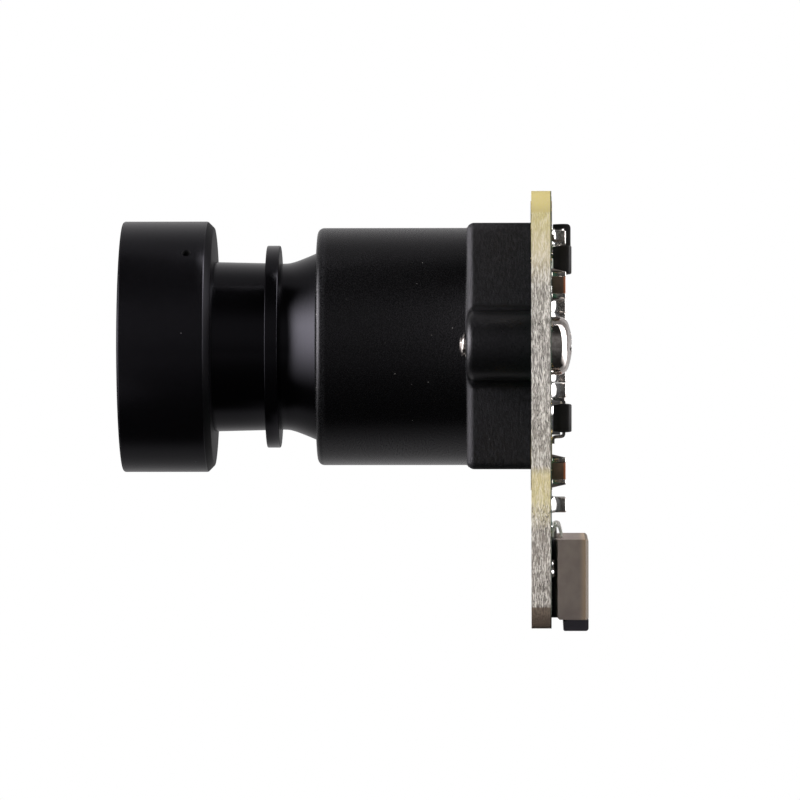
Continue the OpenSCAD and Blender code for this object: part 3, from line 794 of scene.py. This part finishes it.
def screw(bm, x):
    """A domed head with a cross recess on the board's back, and a threaded point at the front."""
    segments, turn = 160, 0.35
    crown_r, crown, fall = 1.2, 1.14, 0.2
    shoulder_r, shoulder_at, shoulder_up = 0.62, 1.004, 0.352
    slot_half, slot_reach, slot_depth = 0.21, 0.88, 0.6

    def top(r):
        if r <= crown_r:
            return crown - fall * (r / crown_r) ** 2
        return shoulder_up + sqrt(max(0.0, shoulder_r**2 - (r - shoulder_at) ** 2))

    radii = [SCREW_HEAD_R * k / 44 for k in range(1, 41)] + [1.52, 1.56, 1.59, 1.61, 1.62, 1.624]
    rings = []
    for r in sorted(radii):
        ring = []
        for i in range(segments):
            a = TURN * i / segments
            across = (abs(r * cos(a + turn)), abs(r * sin(a + turn)))
            near, far = min(across), max(across)
            wall = min(1.0, max(0.0, (slot_half - near) / 0.05))
            wall *= min(1.0, max(0.0, (slot_reach - far) / 0.16))
            up = top(r) - slot_depth * wall * (1 - 0.35 * far)
            ring.append(bm.verts.new((x + r * cos(a), BOARD_BACK + up, r * sin(a))))
        rings.append(ring)
    rings.append([bm.verts.new((v.co.x, BOARD_BACK, v.co.z)) for v in rings[-1]])
    bridge(bm, rings)
    bm.faces.new(rings[0])
    bm.faces.new(rings[-1])
    tip, core, thread, pitch = BASE_S + 0.35, 0.6, 0.79, 0.4
    shank = [(0.0, tip), (0.42, tip), (0.52, tip - 0.06)]
    for i in range(24):
        shank.append((core + 0.19 * min(1.0, i / 5), tip - 0.1 - pitch / 10 * i, pitch, 0.8))
    shank += [(thread, tip - 1.2), (thread, 0.0), (0.0, 0.0)]
    turned(bm, shank, 64, closed=False, x=x)


def make_screws():
    bm = bmesh.new()
    for side in (-1, 1):
        screw(bm, side * SCREW_X)
    piece("screws", bm, "nickel", ["holder_screws"], 30)


# ---------------- parts on the board's back


def chip_axes(lo, hi):
    """A chip part's centre, and whether it lies along X."""
    return (lo + hi) / 2, (hi.x - lo.x) > (hi.z - lo.z)


def chip_point(centre, along_x, out, up, across):
    """A point out along a chip part, up from the board and across the part."""
    if along_x:
        return Vector((centre.x + out, BOARD_BACK + up, centre.z + across))
    return Vector((centre.x + across, BOARD_BACK + up, centre.z + out))


def chip_box(bm, chip, l0, l1, w, h0, h1, bevel, steps=3):
    """A rounded box from l0 to l1 along the chip, w wide, from h0 to h1 above the board."""
    block(bm, chip_point(*chip, l0, h0, -w / 2), chip_point(*chip, l1, h1, w / 2), bevel, steps)


def fillet(bm, chip, end, side, w, h, reach, lean, hollow=1.6):
    """Solder drawn up the end of a chip part: hollow or straight in profile, rounded across."""
    rows, columns = 10, 10
    grid = []
    for i in range(rows + 1):
        t = i / rows
        row = []
        for j in range(columns + 1):
            v = 2 * j / columns - 1
            belly = sqrt(max(0.0, 1 - 0.86 * abs(v) ** 2.6)) * (1 - 0.08 * lean * v)
            out = reach * belly * (1 - t) ** hollow + 0.003
            up = h * (1 - 0.22 * v * v + 0.06 * lean * v) * t ** (hollow * 0.95) + 0.004
            half = w / 2 * (1.08 - 0.14 * t)
            row.append(bm.verts.new(chip_point(*chip, side * (end + out), up, half * v)))
        grid.append(row)
    bridge(bm, grid, wrap=False)
    for j, wing in ((0, -1), (columns, 1)):
        foot = bm.verts.new(chip_point(*chip, side * end, 0.004, w / 2 * 1.08 * wing))
        bm.faces.new([foot] + [grid[i][j] for i in range(rows + 1)])


def make_chips(kind, size, body_finish):
    """Chip parts of one kind: ceramic bodies, end caps, pads and the solder at their ends. size is
    length, width, height and the caps' length."""
    length, width, height, cap = size
    bodies, caps, pads, joints, dull = (bmesh.new() for _ in range(5))
    for k, (lo, hi) in enumerate(islands(f"{kind}_bodies")):
        chip = chip_axes(lo, hi)
        half = length / 2
        inner = half - cap + 0.03
        chip_box(bodies, chip, -inner, inner, width - 0.05, 0.02, height - 0.03, 0.05 * width)
        for side in (-1, 1):
            ends = sorted((side * half, side * (half - cap)))
            chip_box(caps, chip, *ends, width, 0.012, height, 0.1 * width, 4)
            wave = sin(2.3 * k + side)
            if chip[1]:
                rise, reach = height * (0.55 + 0.1 * wave), 0.1 + 0.26 * height
                fillet(joints, chip, half, side, width, rise, reach, wave)
            else:
                # painted shade: solder at ends facing up and down the board is coloured near black
                rise, reach = height * 0.96, 0.05 + 0.16 * height
                fillet(dull, chip, half, side, width, rise, reach, wave, 1.05)
            near, far = sorted((side * (half - cap - 0.08), side * (half + 0.3 + 0.1 * height)))
            chip_box(pads, chip, near, far, width + 0.1, 0.0, 0.012, 0.0)
    piece(f"{kind}s_bodies", bodies, body_finish, [f"{kind}_bodies"])
    piece(f"{kind}s_caps", caps, "tin", [f"{kind}_caps"])
    piece(f"{kind}s_pads", pads, "solder")
    piece(f"{kind}s_solder", joints, "solder", ["solder_fillets"], 50)
    if dull.faces:
        piece(f"{kind}s_dull_solder", dull, "painted_shade_solder", ["solder_fillets"], 50)


def make_resistor_faces():
    bm = bmesh.new()
    for lo, hi in islands("resistor_elements"):
        block(bm, (lo.x, hi.y - 0.03, lo.z), (hi.x, hi.y + 0.004, hi.z), 0.02, 2)
    piece("resistor_faces", bm, "chip", ["resistor_elements"])


def chip_frame(centre, along_x):
    """Places (along, up, across) of a part on the board's back, turned rather than mirrored."""
    hand = 1 if along_x else -1
    return lambda along, up, across: chip_point(centre, along_x, along, up, hand * across)


# height above the board, half length and half width of a regulator's moulded body
REGULATOR_LEVELS = (
    (0.1, 1.4, 0.71), (0.14, 1.43, 0.73), (0.6, 1.45, 0.795), (0.78, 1.45, 0.795),
    (0.9, 1.448, 0.783), (0.97, 1.435, 0.776), (1.03, 1.405, 0.768), (1.075, 1.355, 0.755),
    (1.105, 1.29, 0.735), (1.12, 1.21, 0.7),
)
# its plan: the side of each corner, and how far the corner is cut back along and across
PLAN_CORNERS = (
    (-1, -1, 0.05, 0), (1, -1, 0.05, 0), (1, -1, 0, 0.05), (1, 1, 0, 0.05),
    (1, 1, 0.05, 0), (-1, 1, 0.05, 0), (-1, 1, 0, 0.05), (-1, -1, 0, 0.05),
)


def make_regulators():
    bodies, leads, pads, dots, joints = (bmesh.new() for _ in range(5))
    for lo, hi in islands("regulator_bodies"):
        at = chip_frame(*chip_axes(lo, hi))
        rings = []
        for up, half, w in REGULATOR_LEVELS:
            plan = [(sx * (half - dx), sz * (w - dz)) for sx, sz, dx, dz in PLAN_CORNERS]
            rings.append([bodies.verts.new(at(along, up, across)) for along, across in plan])
        bodies.faces.new(rings[0])
        bodies.faces.new(rings[-1])
        bridge(bodies, rings)
        dot = arc(-1.05, 0.4, 0.14, 0, 360, 24)[:-1]
        dots.faces.new([dots.verts.new(at(along, 1.1235, across)) for along, across in dot])
        for side, places in ((1, (-0.95, 0.0, 0.95)), (-1, (-0.95, 0.95))):
            for x in places:
                make_lead(leads, joints, pads, at, x, side)
    piece("regulator_shells", bodies, "chip", ["regulator_bodies"])
    piece("regulator_legs", leads, "lead", ["regulator_leads"])
    piece("regulator_pads", pads, "solder")
    piece("regulator_solder", joints, "solder", crease=50)
    piece("regulator_marks", dots, "package")


def make_lead(leads, joints, pads, at, x, side):
    """One gull-wing lead with its soldered foot."""
    path = [(0.7, 0.69), (0.86, 0.69), (0.93, 0.68), (0.985, 0.645), (1.02, 0.58), (1.035, 0.45)]
    path += [(1.045, 0.27), (1.065, 0.17), (1.11, 0.115), (1.18, 0.09), (1.42, 0.085)]
    ribbon(leads, path, 0.4, 0.17, lambda out, up, across: at(x + across, up, side * out))
    for end, way, h, reach in ((1.4, 1, 0.15, 0.2), (1.07, -1, 0.36, 0.2)):
        grid = []
        for i in range(7):
            t = i / 6
            up, out = h * t**1.6 + 0.004, side * (end + way * reach * (1 - t) ** 1.8)
            row = [at(x + 0.2 * v * (1.15 - 0.2 * t), up, out) for v in (-1, -0.5, 0, 0.5, 1)]
            grid.append([joints.verts.new(c) for c in row])
        bridge(joints, grid, wrap=False)
    near, far = at(x - 0.27, 0.0, side * 0.9), at(x + 0.27, 0.012, side * 1.64)
    block(pads, [min(p) for p in zip(near, far)], [max(p) for p in zip(near, far)])


def make_contacts():
    """Stamped contacts: each hooks over behind the housing to its soldered foot."""
    bm, joints, pads, inner = (bmesh.new() for _ in range(4))
    top = conn_hi.z
    path = [(top - 3.59, 0.3), (top - 0.9, 0.3), (top - 0.54, 0.54), (top + 0.1, 0.56)]
    path += [(top + 0.3, 0.53), (top + 0.46, 0.48)] + arc(top + 0.53, 0.29, 0.17, 80, -90, 10)[1:]
    path += [(top + 0.35, 0.075), (top + 0.06, 0.06)]
    for k, (lo, hi) in enumerate(islands("connector_contacts")):
        x = (lo.x + hi.x) / 2
        ribbon(bm, path, 0.2, 0.15, lambda z, y, across: (x + across, BOARD_BACK + y, z))
        # solder inside the hook, coloured near black as painted shade
        lo, hi = (x - 0.08, BOARD_BACK + 0.02, top + 0.02), (x + 0.08, BOARD_BACK + 0.3, top + 0.4)
        block(inner, lo, hi, 0.05)
        heel = 0.24 + 0.04 * sin(1.9 * k)
        fillet(joints, (Vector((x, 0, top)), False), 0.6, 1, 0.24, heel, 0.2, 0.0)
        block(pads, (x - 0.14, BOARD_BACK, top + 0.03), (x + 0.14, BOARD_BACK + 0.012, top + 0.9))
    piece("contact_legs", bm, "gold_tin", ["connector_contacts"])
    piece("contact_solder", joints, "solder", crease=50)
    piece("contact_wicked_solder", inner, "painted_shade_solder")
    piece("contact_pads", pads, "solder")
    # painted shade: a near-black block under the housing, where shade falls between the housing and
    # the board
    foot = bmesh.new()
    ends = conn_hi.x - 0.5
    lo, hi = (-ends, BOARD_BACK, conn_lo.z + 0.25), (ends, BOARD_BACK + 0.12, conn_hi.z - 0.05)
    block(foot, lo, hi, 0.02, 1)
    piece("connector_shade_block", foot, "baffle")


def make_anchors():
    """The connector's side tabs: a soldered foot and an upright against the housing. The tabs are
    coloured near black, as painted shade under the housing.
    """
    bm, joints = bmesh.new(), bmesh.new()
    for lo, hi in islands("connector_anchors"):
        side = 1 if lo.x + hi.x > 0 else -1
        x_in, x_out = side * min(abs(lo.x), abs(hi.x)), max(abs(lo.x), abs(hi.x))
        block(bm, (lo.x, BOARD_BACK + 0.005, lo.z), (hi.x, BOARD_BACK + 0.13, hi.z), 0.04)
        x0, x1 = sorted((x_in, x_in + side * 0.14))
        block(bm, (x0, BOARD_BACK + 0.01, lo.z), (x1, BOARD_BACK + 0.34, hi.z), 0.02, 1)
        z = (lo.z + hi.z) / 2
        for dz, w, h, lean in ((0.27, 0.2, 0.11, 0.4), (-0.2, 0.24, 0.17, -0.2)):
            fillet(joints, (Vector((0, 0, z + dz)), True), x_out - 0.02, side, w, h, 0.16, lean)
    piece("anchor_tabs", bm, "painted_shade_solder", ["connector_anchors"])
    piece("anchor_solder", joints, "solder", crease=50)


# ---------------- copper and print

COPPER, INK = 0.009, 0.006


def strip(bm, points, width, y0, y1):
    """A flat line of given width through (x, z) points, between two depths."""
    for (xa, za), (xb, zb) in zip(points, points[1:]):
        d = Vector((xb - xa, zb - za))
        if d.length < 1e-6:
            continue
        d.normalize()
        n = Vector((-d.y, d.x)) * width / 2
        e = d * width * 0.21
        a, b = Vector((xa, za)) - e, Vector((xb, zb)) + e
        ends = [[bm.verts.new((p.x, y, p.y)) for p in (a + n, b + n, b - n, a - n)] for y in (y0, y1)]
        bm.faces.new(ends[0])
        bm.faces.new(ends[1])
        bridge(bm, ends)


def disc_ring(bm, x, z, r_in, r_out, y0, y1):
    """A flat ring on the board, or a dot where r_in is next to nothing."""
    turns = [TURN * i / 20 for i in range(20)]
    rings = []
    for r, y in ((r_in, y0), (r_out, y0), (r_out, y1), (r_in, y1)):
        rings.append([bm.verts.new((x + r * cos(a), y, z + r * sin(a))) for a in turns])
    bridge(bm, rings + rings[:1])


def make_copper():
    """Traces under the mask from each contact up the board, and vias at their ends."""
    rng = random.Random(7)
    traces, vias = bmesh.new(), bmesh.new()
    back = (BOARD_BACK - SINK, BOARD_BACK + COPPER)
    front = (SINK, -COPPER)
    top = conn_hi.z
    for k, (lo, hi) in enumerate(islands("connector_contacts")):
        x = (lo.x + hi.x) / 2
        rise = top + 1.3 + 0.35 * (k % 4)
        goal = x * 0.62 + 0.5 * sin(k * 1.7)
        slant = abs(goal - x)
        end = rise + slant + 1.2 + rng.random() * 3.2
        layer = (back[0], back[1] + 0.0009 * (k % 8))
        strip(traces, [(x, top + 0.9), (x, rise), (goal, rise + slant), (goal, end)], 0.16, *layer)
        disc_ring(vias, goal, end, 0.1, 0.24, back[0], back[1] + 0.016)
    for k in range(26):
        x = rng.uniform(-10.2, 10.2)
        z = rng.uniform(-13.5, 6.8)
        if abs(x) > 7.6 and (abs(abs(z) - 6.25) < 2.4 or abs(z) < 2.4):
            continue  # a mounting hole or a screw head is near
        run, step = rng.uniform(0.8, 2.6), rng.uniform(0.4, 1.2) * rng.choice((-1, 1))
        bend = z + run * 0.5
        layer = (back[0], back[1] + 0.007 + 0.0009 * (k % 8))
        bent = [(x, z), (x, bend), (x + step, bend + abs(step)), (x + step, z + run + abs(step))]
        strip(traces, bent, 0.18, *layer)
        disc_ring(vias, x, z, 0.1, 0.24, back[0], back[1] + 0.018)
    for k in range(9):
        x = -8.4 + 2.1 * k
        z0, z1 = -14.2, -8.2 - 0.5 * (k % 3)
        strip(traces, [(x, z0), (x, z0 + 1.8), (x + 0.8, z0 + 2.6), (x + 0.8, z1)], 0.2, *front)
        disc_ring(vias, x, z0, 0.12, 0.27, *front)
        disc_ring(vias, x + 0.8, z1, 0.12, 0.27, *front)
    piece("board_traces", traces, "trace")
    piece("board_vias", vias, "gold")


def outline_of(bm, lo, hi, gap, width, y0, y1, corners=0.0):
    """A printed outline round a box in the board's plane, or only its corners."""
    x0, x1, z0, z1 = lo.x - gap, hi.x + gap, lo.z - gap, hi.z + gap
    if corners:
        for x, sx in ((x0, 1), (x1, -1)):
            for z, sz in ((z0, 1), (z1, -1)):
                strip(bm, [(x + sx * corners, z), (x, z), (x, z + sz * corners)], width, y0, y1)
        return
    strip(bm, [(x0, z0), (x1, z0), (x1, z1), (x0, z1), (x0, z0)], width, y0, y1)


def make_print():
    """Plain printed outlines round the parts. No lettering."""
    bm = bmesh.new()
    y = (BOARD_BACK - SINK, BOARD_BACK + INK)
    for lo, hi in islands("capacitor_bodies"):
        grow = Vector((0.72, 0, 0.2)) if chip_axes(lo, hi)[1] else Vector((0.2, 0, 0.72))
        outline_of(bm, lo - grow, hi + grow, 0.0, 0.07, *y, corners=0.22)
    for lo, hi in islands("regulator_bodies"):
        for x in (lo.x - 0.16, hi.x + 0.16):
            strip(bm, [(x, lo.z), (x, hi.z)], 0.1, *y)
        disc_ring(bm, lo.x - 0.4, hi.z + 0.3, 0.0001, 0.12, *y)
    lo, hi = size_mm("oscillator_base")
    outline_of(bm, lo, hi, 0.2, 0.09, *y)
    for x in (-1, 1):
        edge = x * (conn_hi.x + 0.35)
        low, high = conn_lo.z + 0.3, conn_hi.z + 0.3
        strip(bm, [(edge, low), (edge, high), (edge - x * 1.6, high)], 0.12, *y)
    front = (SINK, -INK)
    half = Vector((BASE_HALF, 0, BASE_HALF))
    outline_of(bm, -half, half, 0.35, 0.14, *front, corners=2.0)
    strip(bm, [(-11.4, board_lo.z + 1.0), (-8.6, board_lo.z + 1.0)], 0.16, *front)
    piece("board_print", bm, "silk", crease=30)


# ---------------- build

make_barrel()
glass("front_glass", "front_element", 5.96, (19.02, 20.2, 3.6), (21.48, 22.44, 4.7), "glass", 160)
glass("second_glass", "second_element", 3.87, (15.22, 15.9, 3), (17.2, 17.64, 3.3), "inner_glass", 128)
make_holder()
make_screws()
make_chips("capacitor", (1.5, 0.8, 0.82, 0.3), "brown")
make_chips("small_capacitor", (1.0, 0.5, 0.5, 0.22), "tan")
make_chips("resistor", (1.0, 0.5, 0.35, 0.2), "alumina")
make_resistor_faces()
make_regulators()
make_contacts()
make_anchors()
make_copper()
make_print()

for finish, painted in {
    "laminate": ["circuit_board"],
    "gold": ["hole_plating"],
    "filter": ["ir_filter"],
    "solder": ["sensor_solder"],
    "package": ["sensor_package", "oscillator_base"],
    "silicon": ["sensor_die"],
    "inner_glass": ["sensor_glass", "cemented_doublet", "rear_element"],
    "baffle": ["front_retainer", "rear_retainer", "front_spacer", "rear_spacer", "aperture_stop"],
    "lid": ["oscillator_lid"],
    "connector": ["connector_housing"],
    "latch": ["connector_latch"],
}.items():
    for node in painted:
        data = nodes[node].data
        data.materials.clear()
        data.materials.append(FINISHES[finish])
for node, width in {
    "connector_housing": 0.035, "connector_latch": 0.03, "oscillator_lid": 0.06,
    "oscillator_base": 0.03, "front_retainer": 0.04,
}.items():
    soften(node, width)

# ---------------- stage, camera and light

LENS_WINDOW, BOARD_WINDOW = (5.6, 8.6), 11.5
WARM_WHITE, WHITE = (1, 0.985, 0.995, 1), (1, 1, 1, 1)
FLOOR_RADIUS, FLOOR_DROP = 0.16, 0.004
# the camera, in millimetres and degrees
SENSOR, FOCAL_LENGTH = 36, 307.35
EYE, AIM, ROLL = (386, 0.8, -1.6), (0, -7.45, -3.02), -0.05


def windows(n, x, y, z):
    """Strength of the two soft windows by direction: one on the lens's side, one beside the board.
    turn is the bearing from +X towards -Y, in radians."""
    turn = n.maths("ARCTAN2", n.product(y, -1.0), x)
    rise = n.remap(z, -0.66, 0.22)
    by_lens = n.product(n.remap(turn, 0.42, 0.98), n.remap(turn, 2.05, 1.6), n.remap(z, 0.86, 0.32))
    by_board = n.product(n.remap(turn, -0.75, -1.15), n.remap(turn, -1.95, -1.5), n.remap(z, 1.2, 0.6))
    strength = n.remap(turn, 0.6, 1.4, *LENS_WINDOW)
    return n.product(rise, n.total(n.product(by_lens, strength), n.product(by_board, BOARD_WINDOW)))


def seen_white(n, given, kind):
    """White where the camera looks, and the given light for everything else."""
    lit, seen = n.node(kind), n.node(kind)
    n.feed(lit.inputs["Strength"], given)
    lit.inputs["Color"].default_value = WARM_WHITE
    seen.inputs["Color"].default_value = WHITE
    mix = n.node("ShaderNodeMixShader")
    n.feed(mix.inputs[0], n.node("ShaderNodeLightPath").outputs["Is Camera Ray"])
    n.feed(mix.inputs[1], lit.outputs[0])
    n.feed(mix.inputs[2], seen.outputs[0])
    return mix.outputs[0]


def make_floor():
    """A pale floor that glows with painted light in place of what a floor would give back: the
    windows' light, the backdrop's by strips along X, a pool of light under the tube and a dim glow
    ahead.
    """
    drop = -cad_box[0].z + FLOOR_DROP
    bm = bmesh.new()
    bmesh.ops.create_circle(bm, cap_ends=True, segments=96, radius=FLOOR_RADIUS)
    bmesh.ops.translate(bm, vec=(0, -0.007, -drop), verts=bm.verts)
    m = bpy.data.materials.new("pale_floor")
    n = Nodes(m)
    x, y = n.split(n.node("ShaderNodeTexCoord").outputs["Object"])[:2]
    # painted light: the floor glows brighter under the tube
    under_tube = n.product(n.remap(y, -0.017, -0.012), n.remap(x, 0.0078, 0.0042, 0.0, 0.16))
    y = n.maths("ADD", y, 0.009)
    reach = n.maths("SQRT", n.total(n.product(x, x), n.product(y, y), drop * drop))
    card = windows(n, x, y, n.maths("DIVIDE", -drop, reach))
    behind = n.total(n.remap(x, 0.004, -0.002, 0.0, 0.17), n.remap(x, -0.003, -0.03, 0.0, 0.18))
    ahead = n.remap(x, 0.004, 0.09, 0.012, 0.1)
    out = n.node("ShaderNodeOutputMaterial")
    given = n.total(card, behind, under_tube, ahead)
    n.feed(out.inputs["Surface"], seen_white(n, given, "ShaderNodeEmission"))
    o = placed("floor", as_mesh("floor", bm))
    o.data.materials.append(m)


def make_light():
    """A white backdrop behind the object, a soft window on either side of the camera, and the dim
    room that the camera stands in."""
    world = bpy.data.worlds.new("room")
    bpy.context.scene.world = world
    n = Nodes(world)
    x, y, z = n.split(n.node("ShaderNodeTexCoord").outputs["Generated"])
    backdrop = n.total(n.remap(x, 0.06, -0.16, 0.0, 0.19), n.remap(x, -0.25, -0.95, 0.0, 0.26))
    ahead = n.product(n.remap(x, 0.25, 0.95), n.remap(z, -0.5, 0.3), n.remap(z, 0.95, 0.5), 0.12)
    dim = n.remap(z, -0.7, 0.0, 0.008, 0.02)
    out = n.node("ShaderNodeOutputWorld")
    given = n.total(backdrop, ahead, dim, windows(n, x, y, z))
    n.feed(out.inputs["Surface"], seen_white(n, given, "ShaderNodeBackground"))


def make_camera():
    """A long lens almost square to the board's side, a little below the optical axis."""
    data = bpy.data.cameras.new("camera")
    data.sensor_width = SENSOR
    data.lens = FOCAL_LENGTH
    data.clip_start, data.clip_end = 0.01, 10
    o = placed("camera", data)
    o.rotation_mode = "QUATERNION"
    o.location = Vector(EYE) * MM
    look = (Vector(AIM) * MM - o.location).to_track_quat("-Z", "Y").to_matrix()
    o.rotation_quaternion = (look @ Matrix.Rotation(radians(ROLL), 3, "Z")).to_quaternion()
    bpy.context.scene.camera = o


make_floor()
make_light()
make_camera()
bpy.context.scene.view_settings.view_transform = "Standard"
